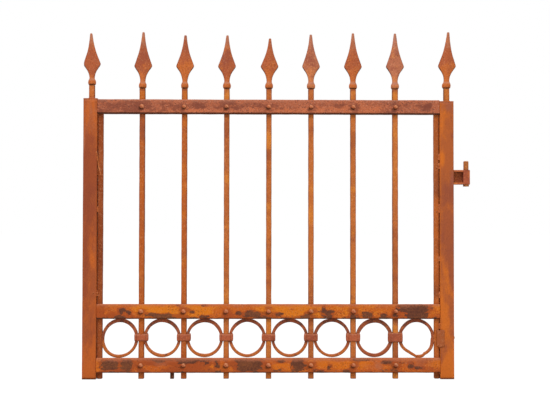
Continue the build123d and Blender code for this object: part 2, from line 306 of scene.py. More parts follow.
@dataclass(frozen=True)
class Rust:
    """One rusted finish."""

    name: str  # the material's name
    slot: Slot  # slot of the record that it belongs to
    body: Colour  # the rust's main colour
    deep: Colour  # colour of its darker, redder clouds
    bloom: Colour  # colour of its fresh, bright clouds
    dust: Colour = rgb(222, 160, 118)  # colour of the pale specks
    sky: Colour = rgb(168, 118, 104)  # colour of the painted sky reflection on faces that point up, and of rubbed places and painted highlights
    scale: Colour = rgb(84, 50, 38)  # colour of the old dark scale
    crust: Colour = rgb(122, 72, 44)  # colour of that scale where it has rusted on
    shade: Colour = rgb(50, 23, 11)  # colour of the painted shade, on what faces down and on the painted-shade layer
    clouds: float = 0.4  # share of the surface under deep clouds
    blooming: float = 0.3  # share of the surface under bright clouds
    specks: float = 0.25  # strength of the pale specks
    mottling: float = 1.0  # how far fine spots break up the clouds
    grit: float = 0.4  # strength of the dark pits
    streak: tuple[float, float, float] = (1.0, 1.0, 1.0)  # stretch of the clouds along each axis
    pitting: float = 1.0  # depth of the pits and grain, 1 being about half a millimetre

    @property
    def spots(self) -> float:
        """How far the blotches break up scale and stains."""
        return 0.3 + 0.7 * self.mottling

    def material(self) -> bpy.types.Material:
        """Find the finish's material, or make it.

        Returns:
            The material, which is made once.
        """
        made = bpy.data.materials.get(self.name)
        if not made:
            made = bpy.data.materials.new(self.name)
            self._fill(ShaderTree(made))
        return made

    def _fill(self, tree: ShaderTree) -> None:
        """Draw the finish's nodes.

        Args:
            tree: The material's empty tree.
        """
        grain = Grain.draw(tree, self.streak)
        old = self._old_scale(tree, grain)
        relief = grain.fine * 0.2 + grain.speckle * 0.45 + grain.mottle * 0.5
        relief = relief - grain.pits * 0.5 + old * 0.4
        bump = {"Strength": 0.9, "Distance": self.pitting * 0.7 * MM, "Height": relief}
        surface = {
            "Base Color": self._colour(tree, grain, old),
            "Roughness": 0.85 + grain.fine * 0.1 - old * 0.2,
            "Specular IOR Level": 0.12,
            "Normal": tree.add("ShaderNodeBump", None, bump),
        }
        shader = tree.add("ShaderNodeBsdfPrincipled", None, surface)
        tree.add("ShaderNodeOutputMaterial", None, {"Surface": shader})

    def _old_scale(self, tree: ShaderTree, grain: Grain) -> Signal:
        """Mask the old dark scale.

        Args:
            tree: The tree to draw in.
            grain: Its noises.

        Returns:
            1 on the scale and 0 beside it, with a ragged edge.
        """
        flakes = grain.flake.swing() * (0.9 * self.spots)
        blotches = grain.mottle.swing() * (1.4 * self.spots)
        ragged = tree.attribute(Layer.SCALE) + flakes + blotches + grain.fresh.swing() * 0.8
        return ragged.step(0.5, 0.57)

    def _colour(self, tree: ShaderTree, grain: Grain, old: Signal) -> Signal:
        """Lay the finish's coats over its main colour.

        Args:
            tree: The tree to draw in.
            grain: Its noises.
            old: The mask of the old scale.

        Returns:
            The colour.
        """
        fine = 0.4 * self.mottling
        soft = 0.05 + 0.07 * (1.0 - self.mottling)
        cloudy = (
            grain.broad * (0.75 - fine)
            + grain.fresh * 0.25
            + grain.mottle * (fine * 0.75)
            + grain.speckle * (fine * 0.25)
        )
        glowing = (
            grain.fresh * (1.0 - fine)
            + grain.speckle * (fine * 0.6)
            + grain.broad * (fine * 0.4)
            + tree.attribute(Layer.GLOW) * 0.2
        )
        speck = (grain.speckle * 0.6 + grain.fine * 0.4).share(0.22)
        tint = tree.attribute(Layer.SCALE) + tree.attribute(Layer.STAIN)
        stain = (tint + grain.mottle.swing() * (1.6 * self.spots) + grain.fresh.swing()).step(0.12, 0.46)
        rubbed_and_highlit = tree.attribute(Layer.WEAR) + grain.mottle.swing() * 1.1 + grain.speckle.swing() * 0.7
        # Painted shade, from the dark layer laid along undersides, barb edges, creases and rivets.
        rim = (tree.attribute(Layer.SOOT) + grain.mottle.swing() * 0.5).step(0.1, 0.9)
        crusted = (grain.fresh * 0.5 + grain.speckle * 0.5).step(0.42, 0.62)
        # Faces that point down are darkened as painted shade.
        normal = tree.add("ShaderNodeNewGeometry", output="Normal")
        slope = tree.add("ShaderNodeSeparateXYZ", None, {0: normal}, "Z")
        facing_down_shade = (0.0 - slope).step(0.2, 0.75)
        coats = (
            (cloudy.share(self.clouds, soft) * 0.9, self.deep),
            (glowing.share(self.blooming, soft) * 0.8, self.bloom),
            (speck * self.specks, self.dust),
            (stain * 0.75, self.deep),
            (grain.pits * (self.grit * self.mottling), self.scale),
            (old * 0.92, tree.blend(crusted, self.scale, self.crust)),
            # Rubbed places, together with the painted highlights on knuckles, collars, rivets and rail
            # edges.
            (rubbed_and_highlit.step(0.15, 0.9) * 0.6, self.sky),
            # Faces that point up are paled as a painted sky reflection.
            (slope.step(0.25, 0.85) * 0.5, self.sky),
            # Painted shade on downward faces and on the dark layer.
            ((facing_down_shade * 0.85).highest(rim * 0.85), self.shade),
        )
        colour = self.body
        for cover, coat in coats:
            colour = tree.blend(cover, colour, coat)
        return colour


POST_WEATHER = {"specks": 0.05, "mottling": 0.25, "streak": (1.0, 1.0, 0.4)}
BAR_WEATHER = {"mottling": 0.6, "streak": (0.5, 1.0, 0.5)}
INNER_WEATHER = {"clouds": 0.5, "mottling": 0.5, "streak": (0.5, 1.0, 0.4)}
RAIL_WEATHER = {"streak": (0.45, 1.0, 1.0), "pitting": 1.3}

LEFT_POST_RUST = Rust(
    "left_post_rust", Slot.POST, rgb(156, 79, 43), rgb(136, 66, 43), rgb(190, 95, 36),
    sky=rgb(184, 116, 82), **POST_WEATHER,
)
RIGHT_POST_RUST = Rust(
    "right_post_rust", Slot.POST, rgb(168, 88, 45), rgb(142, 74, 52), rgb(206, 108, 32),
    sky=rgb(160, 100, 84), **POST_WEATHER,
)
BAR_RUST = Rust(
    "bar_rust", Slot.BAR, rgb(186, 103, 48), rgb(150, 77, 46), rgb(210, 126, 46), **BAR_WEATHER
)
DARK_BAR_RUST = Rust(
    "dark_bar_rust", Slot.BAR, rgb(176, 88, 35), rgb(146, 76, 46), rgb(196, 106, 32), **BAR_WEATHER
)
# The left inner bar's rust is darker and redder: partly its own tone, partly painted shade of the post.
LEFT_INNER_SHADED_RUST = Rust(
    "left_inner_rust", Slot.BAR, rgb(146, 70, 30), rgb(124, 56, 26), rgb(164, 86, 44), **INNER_WEATHER
)
RIGHT_INNER_RUST = Rust(
    "right_inner_rust", Slot.BAR, rgb(160, 83, 38), rgb(132, 67, 36), rgb(190, 100, 40), **INNER_WEATHER
)
# The peg's rust is painted very dark, as the shade behind the bottom rail.
PEG_SHADE_RUST = Rust("peg_rust", Slot.BAR, rgb(86, 45, 27), rgb(62, 33, 21), rgb(106, 57, 31))
TOP_RAIL_RUST = Rust(
    "top_rail_rust", Slot.RAIL, rgb(168, 93, 64), rgb(118, 63, 49), rgb(190, 104, 66),
    dust=rgb(208, 146, 118), sky=rgb(176, 118, 94), scale=rgb(112, 68, 58), crust=rgb(136, 82, 66),
    specks=0.55, grit=0.7, streak=(0.6, 1.0, 1.0), pitting=1.8,
)
MIDDLE_RAIL_RUST = Rust(
    "middle_rail_rust", Slot.RAIL, rgb(188, 92, 29), rgb(152, 68, 33), rgb(212, 118, 24),
    sky=rgb(176, 106, 76), clouds=0.35, blooming=0.4, **RAIL_WEATHER,
)
BOTTOM_RAIL_RUST = Rust(
    "bottom_rail_rust", Slot.RAIL, rgb(188, 91, 31), rgb(152, 70, 37), rgb(210, 110, 27),
    sky=rgb(178, 108, 78), **RAIL_WEATHER,
)
SPEAR_RUST = Rust(
    "spear_rust", Slot.SPEAR, rgb(168, 87, 52), rgb(144, 74, 54), rgb(194, 104, 46),
    sky=rgb(178, 123, 97), blooming=0.25, mottling=0.7,
)
PALE_SPEAR_RUST = Rust(
    "pale_spear_rust", Slot.SPEAR, rgb(180, 108, 78), rgb(150, 82, 62), rgb(200, 120, 70),
    blooming=0.25, specks=0.4,
)
RING_RUST = Rust(
    "ring_rust", Slot.RING, rgb(160, 82, 48), rgb(128, 66, 48), rgb(188, 103, 42),
    scale=rgb(96, 56, 46), blooming=0.2,
)
COLLAR_RUST = Rust(
    "collar_rust", Slot.COLLAR, rgb(171, 88, 57), rgb(146, 73, 51), rgb(184, 97, 54),
    sky=rgb(190, 122, 94), blooming=0.2,
)
RIVET_RUST = Rust(
    "rivet_rust", Slot.RIVET, rgb(176, 94, 58), rgb(142, 72, 48), rgb(198, 110, 64), sky=rgb(208, 142, 102)
)
HINGE_RUST = Rust("hinge_rust", Slot.HINGE, rgb(188, 102, 60), rgb(156, 80, 52), rgb(210, 118, 56))
BLOCK_RUST = Rust("block_rust", Slot.HINGE, rgb(168, 84, 54), rgb(140, 70, 52), rgb(192, 104, 56))
PIN_RUST = Rust(
    "pin_rust", Slot.HINGE, rgb(168, 100, 52), rgb(138, 80, 50), rgb(192, 116, 56), sky=rgb(206, 158, 118)
)
TIE_RUST = Rust("tie_rust", Slot.WELD, rgb(160, 85, 46), rgb(134, 70, 46), rgb(180, 99, 50), mottling=0.6)
WELD_RUST = Rust(
    "weld_rust", Slot.WELD, rgb(186, 102, 54), rgb(152, 80, 48), rgb(206, 126, 72), pitting=1.4
)


def dress(node: str, finish: Rust) -> None:
    """Give a frame node a finish.

    Args:
        node: The node's name.
        finish: The finish to show on it.
    """
    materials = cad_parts[node].data.materials
    materials.clear()
    materials.append(finish.material())
    LOG.info("dressed %s in %s", node, finish.name)


def hammer(mesh: Mesh, depth: float, lumps: float, seed: float, proud: float = 0.5) -> None:
    """Dent a mesh, as hammer and rust leave it.

    Args:
        mesh: The mesh to dent.
        depth: Height from the deepest dent to the highest bump in metres.
        lumps: Dents to the metre.
        seed: Where in the noise the dents are taken from.
        proud: Share of that height that stands out from the surface.
    """
    bmesh.ops.recalc_face_normals(mesh, faces=mesh.faces[:])
    mesh.normal_update()
    shift = Vector((seed, 2 * seed, 3 * seed))
    for vertex in mesh.verts:
        bump = 0.5 * noise.noise(vertex.co * lumps + shift) - 0.5 + proud
        vertex.co += vertex.normal * depth * bump


def paint(mesh: Mesh, layer: Layer, cover: Cover) -> None:
    """Write on a mesh where a layer of rust lies.

    Args:
        mesh: The mesh to write on.
        layer: The layer.
        cover: Gives the layer's cover at a point, 0 for none and about 1 for a full one.
    """
    painted = mesh.verts.layers.float.new(layer.value)
    for vertex in mesh.verts:
        vertex[painted] = cover(vertex.co)


def link(name: str, data: bpy.types.ID) -> bpy.types.Object:
    """Put an object at the origin of the scene.

    Args:
        name: The object's name.
        data: Its mesh, lamp or camera.

    Returns:
        The object.
    """
    made = bpy.data.objects.new(name, data)
    bpy.context.scene.collection.objects.link(made)
    return made


def settle(name: str, mesh: Mesh) -> bpy.types.Object:
    """Turn a mesh into an object.

    Args:
        name: The object's name.
        mesh: Its mesh, which is used up.

    Returns:
        The object.
    """
    data = bpy.data.meshes.new(name)
    mesh.to_mesh(data)
    mesh.free()
    return link(name, data)


def keep_piece(
    name: str,
    mesh: Mesh,
    finish: Rust,
    replaced: str,
    subdivisions: int = 0,
    rounding: float = 0.0,
) -> None:
    """Turn a mesh into a piece that rides on the leaf, inside the frame's box.

    Args:
        name: The piece's name.
        mesh: Its mesh, which is used up.
        finish: Its finish.
        replaced: The frame node that it stands for.
        subdivisions: Levels of subdivision to smooth it with.
        rounding: Radius of its rounded edges in metres.
    """
    lowest, highest = CAD_BOX
    for vertex in mesh.verts:
        vertex.co = [min(max(place, low), high) for place, low, high in zip(vertex.co, lowest, highest)]
    bmesh.ops.recalc_face_normals(mesh, faces=mesh.faces[:])
    for face in mesh.faces:
        face.smooth = True
    piece = settle(name, mesh)
    piece.data.materials.append(finish.material())
    if rounding:
        bevel = piece.modifiers.new("rounded", "BEVEL")
        bevel.width = rounding
        bevel.segments = 3
        bevel.limit_method = "ANGLE"
        bevel.angle_limit = math.radians(40)
    if subdivisions:
        smooth = piece.modifiers.new("smooth", "SUBSURF")
        smooth.levels = subdivisions
        smooth.render_levels = subdivisions
    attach(piece, LEAF)
    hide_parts(replaced)
    LOG.info("built %s, %d faces", name, len(piece.data.polygons))


def add_block(mesh: Mesh, span: Span) -> None:
    """Add a box to a mesh."""
    placed = Matrix.Translation(span.middle) @ Matrix.Diagonal((*span.size, 1.0))
    bmesh.ops.create_cube(mesh, size=1.0, matrix=placed)


def edges_along(mesh: Mesh, axis: int, length: float) -> list[Edge]:
    """Find the edges that run a given length or more along axis 0, 1 or 2."""
    return [e for e in mesh.edges if abs((e.verts[0].co - e.verts[1].co)[axis]) >= length]


def round_off(mesh: Mesh, edges: list[Edge], radius: float, segments: int) -> None:
    """Round edges off, with so many mesh faces across each."""
    bmesh.ops.bevel(
        mesh, geom=edges, offset=radius, segments=segments, profile=0.5, affect="EDGES", material=-1
    )


def bend_tube(span: Span, corner: float, segments: int) -> Mesh:
    """Start a mesh with the four sides of a box, bent round its upright corners.

    Args:
        span: The box.
        corner: Radius of the corners in metres.
        segments: Mesh faces across each.

    Returns:
        The mesh, open above and below.
    """
    mesh = bmesh.new()
    add_block(mesh, span)
    ends = [f for f in mesh.faces if abs(f.normal.z) > 0.9]
    bmesh.ops.delete(mesh, geom=ends, context="FACES_ONLY")
    round_off(mesh, edges_along(mesh, 2, span.size.z / 2), corner, segments)
    return mesh


def spin_round(
    mesh: Mesh, points: Iterable[Vector], centre: Vector, steps: int, closed: bool = False
) -> None:
    """Spin a line of points once round an axis that runs along Y.

    Args:
        mesh: The mesh to add to.
        points: The points in order.
        centre: A point of the axis.
        steps: Mesh faces round the axis.
        closed: Whether the last point is joined to the first.
    """
    line = [mesh.verts.new(point) for point in points]
    pairs = [*zip(line, line[1:])]
    if closed:
        pairs.insert(0, (line[-1], line[0]))
    edges = [mesh.edges.new(pair) for pair in pairs]
    axis = (0.0, 1.0, 0.0)
    bmesh.ops.spin(
        mesh, geom=[*line, *edges], cent=centre, axis=axis, angle=math.tau, steps=steps, use_merge=True
    )


def divide(mesh: Mesh, span: Span, steps: tuple[float, float, float]) -> None:
    """Cut a box's long faces into small ones.

    Args:
        mesh: The mesh, a box with or without worn edges.
        span: The box that it fills.
        steps: Length of a small face along each axis, in metres.
    """
    for axis, step in enumerate(steps):
        cuts = round(span.size[axis] / step) - 1
        if cuts > 0:
            runs = edges_along(mesh, axis, span.size[axis] / 2)
            bmesh.ops.subdivide_edges(mesh, edges=runs, cuts=cuts, use_grid_fill=True)


def add_bead(mesh: Mesh, start: Vector, end: Vector, radius: float, chance: random.Random) -> None:
    """Add a run of weld as overlapping lumps.

    Args:
        mesh: The mesh to add to.
        start: Where the run starts.
        end: Where it ends.
        radius: Usual radius of a lump in metres.
        chance: Source of the lumps' unevenness.
    """
    count = max(2, round((end - start).length / (0.8 * radius)))
    for index in range(count):
        lump = radius * chance.uniform(0.8, 1.15)
        stray = Vector([chance.uniform(-0.15, 0.15) * radius for _ in range(3)])
        centre = start.lerp(end, index / (count - 1)) + stray
        bmesh.ops.create_icosphere(mesh, subdivisions=2, radius=lump, matrix=Matrix.Translation(centre))


def fade(distance: float, width: float) -> float:
    """Cover that falls evenly from 1 at an edge to 0 at a given width from it."""
    return max(0.0, 1.0 - distance / width)


@dataclass(frozen=True)
class Patch:
    """A place where a layer of rust lies, in millimetres from the middle of its piece."""

    along: float  # its middle along X
    rise: float  # its middle along Z
    half_length: float  # half its length along X
    half_height: float  # half its height
    strength: float = 1.0  # how thick the layer is at its middle

    def cover(self, place: Vector) -> float:
        """Say how well the patch covers a point.

        Args:
            place: The point, in metres from the middle of the piece.

        Returns:
            The patch's strength at its middle, half of it at its edge and 0 well outside.
        """
        across = (place.x / MM - self.along) / self.half_length
        up = (place.z / MM - self.rise) / self.half_height
        reach = (across**4 + up**4) ** 0.25
        return self.strength * max(0.0, min(1.0, 1.2 - 0.7 * reach))


Patches = Mapping[Layer, tuple[Patch, ...]]


def thickest(patches: tuple[Patch, ...], middle: Vector) -> Cover:
    """Join patches, which are measured from a piece's middle, into the strongest cover of them."""
    return lambda point: max((patch.cover(point - middle) for patch in patches), default=0.0)


TOP_RAIL_PATCHES = {
    Layer.STAIN: (
        Patch(-385, 1, 110, 17, 0.5),
        Patch(-230, 3, 80, 10, 0.42),
        Patch(-50, 4, 100, 10, 0.44),
        Patch(42, 0, 40, 9, 0.38),
        Patch(180, 4, 50, 7, 0.26),
        Patch(395, 4, 40, 7, 0.36),
        Patch(434, 0, 10, 12, 0.7),
    ),
    Layer.GLOW: (Patch(-210, -11, 120, 5, 0.7), Patch(110, -8, 200, 9, 0.6)),
}
MIDDLE_RAIL_PATCHES = {
    Layer.SCALE: (
        Patch(-399, -2, 7, 9),
        Patch(-378, -5, 6, 6),
        Patch(-399, -16, 20, 4),
        Patch(-290, -12, 28, 6),
        Patch(-247, 17, 6, 3),
        Patch(-207, -1, 6, 4),
        Patch(-174, 17, 8, 3),
        Patch(-177, -15, 13, 5),
        Patch(-81, -5, 7, 5),
        Patch(-42, -8, 25, 8),
        Patch(25, -9, 13, 6),
        Patch(104, -10, 7, 7),
        Patch(150, 6, 5, 9),
        Patch(160, -6, 15, 8),
        Patch(230, -13, 10, 6),
        Patch(269, -9, 13, 8),
        Patch(312, -10, 11, 7, 0.8),
        Patch(344, -7, 10, 8, 0.7),
        Patch(394, 8, 33, 10, 1.7),
        Patch(403, -8, 23, 13, 1.5),
    ),
    Layer.STAIN: (
        Patch(-458, 0, 13, 18, 0.9),
        Patch(-432, 0, 22, 14, 0.4),
        Patch(-400, -12, 40, 8, 0.4),
    ),
    Layer.GLOW: (Patch(-310, 4, 40, 12), Patch(-180, 2, 30, 10), Patch(60, 6, 60, 10)),
}
BOTTOM_RAIL_PATCHES = {
    Layer.SCALE: (
        Patch(-430, 2, 17, 11, 1.6),
        Patch(-384, 3, 12, 11, 1.5),
        Patch(-310, 13, 26, 5, 0.7),
        Patch(-214, 12, 42, 7, 1.1),
        Patch(-167, 5, 9, 5),
        Patch(-140, 4, 7, 9),
        Patch(-52, 0, 30, 13, 1.5),
        Patch(31, 11, 12, 4, 0.7),
        Patch(80, 3, 14, 13, 1.5),
        Patch(101, -3, 5, 7, 0.8),
        Patch(138, -17, 12, 3, 0.8),
        Patch(166, -2, 7, 8, 0.5),
        Patch(250, 16, 30, 4, 0.8),
        Patch(321, 9, 14, 5),
        Patch(387, -1, 7, 8),
        Patch(409, -7, 14, 4),
    ),
    Layer.STAIN: (
        Patch(-353, 4, 18, 11, 0.6),
        Patch(-410, 0, 40, 16, 0.5),
        Patch(-290, 9, 60, 9, 0.7),
        Patch(-215, 0, 50, 16, 0.8),
        Patch(-102, 4, 18, 12, 0.5),
    ),
    Layer.GLOW: (
        Patch(-458, 0, 12, 14),
        Patch(-150, -6, 40, 10),
        Patch(35, -7, 42, 9, 1.2),
        Patch(140, 4, 40, 10, 1.2),
        Patch(220, 2, 50, 9),
    ),
    Layer.WEAR: (
        Patch(-290, 4, 18, 10, 0.6),
        Patch(298, -1, 13, 13, 0.8),
        Patch(290, -4, 60, 9, 0.4),
        Patch(420, 2, 45, 10, 0.42),
    ),
}
LEFT_POST_PATCHES = {
    Layer.STAIN: (
        Patch(-3, 140, 22, 145, 0.5),
        Patch(2, 268, 16, 18, 0.4),
        Patch(-10, -60, 9, 160, 0.42),
        Patch(-6, -190, 14, 50, 0.22),
    ),
    Layer.GLOW: (
        Patch(0, 335, 22, 45, 0.4),
        Patch(8, -3, 4, 24),
        Patch(8, -55, 4, 18),
        Patch(2, -122, 4, 14, 1.2),
        Patch(-2, -350, 22, 60, 0.9),
    ),
    Layer.WEAR: (
        Patch(2, 332, 22, 48, 0.42),
        Patch(-16, 270, 3, 30, 0.7),
        Patch(14, -20, 4, 60, 0.3),
    ),
}
RIGHT_POST_PATCHES = {
    Layer.STAIN: (
        Patch(13, 320, 8, 60, 0.3),
        Patch(4, 366, 12, 16, 0.3),
        Patch(14, 150, 9, 60, 0.5),
        Patch(-2, 125, 18, 45, 0.42),
        Patch(2, 20, 20, 75, 0.45),
        Patch(15, -40, 9, 75, 0.8),
        Patch(14, 285, 5, 12, 0.5),
    ),
    Layer.GLOW: (
        Patch(-8, 290, 10, 50, 0.2),
        Patch(-10, 222, 9, 16, 0.6),
        Patch(-14, -130, 8, 80, 0.6),
        Patch(-3, -300, 26, 150, 0.65),
    ),
    Layer.WEAR: (Patch(4, 362, 16, 14, 0.4), Patch(14, 172, 6, 28, 0.6)),
}
RIGHT_INNER_PATCHES = {
    Layer.GLOW: (Patch(0, -300, 20, 90, 2.2),),
    # The dark patch at the foot is painted shade under the bottom rail.
    Layer.SOOT: (Patch(0, -370, 20, 12, 0.5),),
}
PICKET_STAINS = {
    1: (Patch(0, 280, 12, 45, 0.42),),
    3: (Patch(0, 265, 12, 60, 0.45), Patch(0, -40, 12, 70, 0.3)),
    4: (Patch(0, 190, 12, 40, 0.35), Patch(0, -100, 12, 60, 0.35)),
    5: (Patch(0, 270, 12, 50, 0.4),),
    6: (Patch(0, 240, 12, 40, 0.35), Patch(0, 20, 12, 50, 0.3)),
    7: (Patch(0, -90, 12, 70, 0.4), Patch(0, -330, 12, 30, 0.4)),
}
# A painted shadow of the knuckle on the top of each picket, laid on as stain.
PAINTED_KNUCKLE_SHADOW = Patch(0, 397, 12, 7, 0.7)
STEM_GLOW = Patch(0, 368, 12, 22, 0.7)
BRIGHT_STEMS = (2, 3, 7)
DARK_PICKETS = (1, 2)
PALE_SPEARS = (6, 8)


@dataclass(frozen=True)
class Stock:
    """A length of flat or square bar with worn edges."""

    node: str  # the frame node that it replaces
    finish: Rust  # its rust
    steps: tuple[float, float, float] = (5 * MM, 5 * MM, 7 * MM)  # length of one mesh face along each axis
    patches: Patches = field(default_factory=dict)  # where each layer lies on it
    edge: float = 1.4 * MM  # radius of its worn edges
    dents: float = 0.7 * MM  # depth of its dents
    coarse: float = 35.0  # its large dents to the metre
    fine: float = 150.0  # its small dents to the metre
    top: float | None = None  # height at which it ends, where that is below the node's top
    edging: float = 0.0  # how strongly a rail's upper edge is paled, as a painted sky reflection
    flaking: float = 0.0  # how much old scale is left along a rail's lower edge
    band: float = 14 * MM  # how far from a rail's edges those two reach
    underline: float = 0.0  # how dark the painted shade along a rail's lower edge is
    underline_width: float = 6 * MM  # how far up that reaches
    rim: float = 0.45  # how dark the painted shade on the two sides of an upright is
    rim_width: float = 3.5 * MM  # how far inwards that reaches
    swell: float = 0.0  # how far rust has pushed its two long sides out, or eaten into them if negative
    upset: float = 0.0  # how much further they stand out above the top rail, where its end was forged

    def build(self) -> None:
        """Make the bar, swell and dent it, and paint its rust."""
        span = Span.of(self.node)
        if self.top is not None:
            span = Span(span.low, Vector((span.high.x, span.high.y, self.top)))
        mesh = bmesh.new()
        add_block(mesh, span)
        round_off(mesh, mesh.edges[:], self.edge, 2)
        divide(mesh, span, self.steps)
        side = 0 if span.size.z > span.size.x else 2
        forged = Span.of("top_rail").high.z
        for vertex in mesh.verts:
            swell = self.swell + (self.upset if vertex.co.z > forged else 0.0)
            vertex.co[side] += swell * math.copysign(1.0, vertex.co[side] - span.middle[side])
        seed = (span.middle.x + 2 * span.middle.z) * 10
        hammer(mesh, self.dents, self.coarse, seed)
        hammer(mesh, self.dents / 2, self.fine, seed + 9)
        for layer in Layer:
            patched = thickest(self.patches.get(layer, ()), span.middle)
            paint(mesh, layer, lambda point: max(patched(point), self.edge_cover(layer, point, span)))
        keep_piece(f"forged_{self.node}", mesh, self.finish, self.node)

    def edge_cover(self, layer: Layer, point: Vector, span: Span) -> float:
        """Cover of a layer along the bar's edges: old scale and a painted highlight on a rail's edges,
        painted shade on its lower edge or on an upright's sides.

        Args:
            layer: The layer.
            point: A point of the bar.
            span: The box that the bar fills.

        Returns:
            The cover there.
        """
        rise = point.z - span.low.z
        if layer is Layer.SCALE:
            return self.flaking * fade(rise, self.band)
        if layer is Layer.WEAR:
            return self.edging * fade(span.high.z - point.z, self.band)
        if layer is not Layer.SOOT:
            return 0.0
        # Painted shade along a rail's lower edge, or on an upright's two sides.
        if span.size.x > span.size.z:
            return self.underline * fade(rise, self.underline_width)
        return self.rim * fade(span.size.x / 2 - abs(point.x - span.middle.x), self.rim_width)


@dataclass(frozen=True)
class Post:
    """A square tube that stands on its open foot."""

    side: Side  # the side of the leaf that it is on
    finish: Rust  # its rust
    patches: Patches  # where it is redder, fresher or rubbed
    wall: float = 3.0 * MM  # thickness of its wall
    corner: float = 2.0 * MM  # radius of its corners
    steps: tuple[float, float, float] = (6 * MM, 6 * MM, 8 * MM)  # length of one mesh face along each axis
    dents: float = 0.35 * MM  # depth of its dents
    coarse: float = 14.0  # its large dents to the metre
    fine: float = 70.0  # its small dents to the metre
    slit_glow: float = 2.0  # how bright the painted bounce light on its side in the slit is, laid on as fresh rust

    def build(self) -> None:
        """Bend the tube, dent it and dress its cap."""
        node = f"{self.side.word}_post"
        span = Span.of(node)
        mesh = bend_tube(span, self.corner, 4)
        divide(mesh, span, self.steps)
        seed = span.middle.x * 10
        hammer(mesh, self.dents, self.coarse, seed, proud=0.0)
        hammer(mesh, self.dents / 2, self.fine, seed + 4, proud=0.0)
        bmesh.ops.solidify(mesh, geom=mesh.faces[:], thickness=self.wall)
        for layer, patches in self.patches.items():
            patched = thickest(patches, span.middle)
            paint(mesh, layer, lambda point: self.cover(layer, point, span, patched(point)))
        keep_piece(f"rusty_{node}", mesh, self.finish, node)
        dress(f"{node}_cap", self.finish)

    def cover(self, layer: Layer, point: Vector, span: Span, patched: float) -> float:
        """Cover of a layer, with painted bounce light on the side in the slit.

        Args:
            layer: The layer.
            point: A point of the tube.
            span: The box that the tube fills.
            patched: The cover that its patches give there.

        Returns:
            The cover.
        """
        inner = span.high.x if self.side is Side.LEFT else span.low.x
        hidden = abs(point.x - inner) < self.corner / 2
        # The side in the slit gets painted bounce light, laid on as fresh rust.
        return self.slit_glow if hidden and layer is Layer.GLOW else patched


class Section(NamedTuple):
    """One ring of a spear head."""

    height: float  # its height above the seat
    width: float  # half its width
    depth: float  # half its depth
    squareness: float  # 1 for a round ring and 2 for a diamond


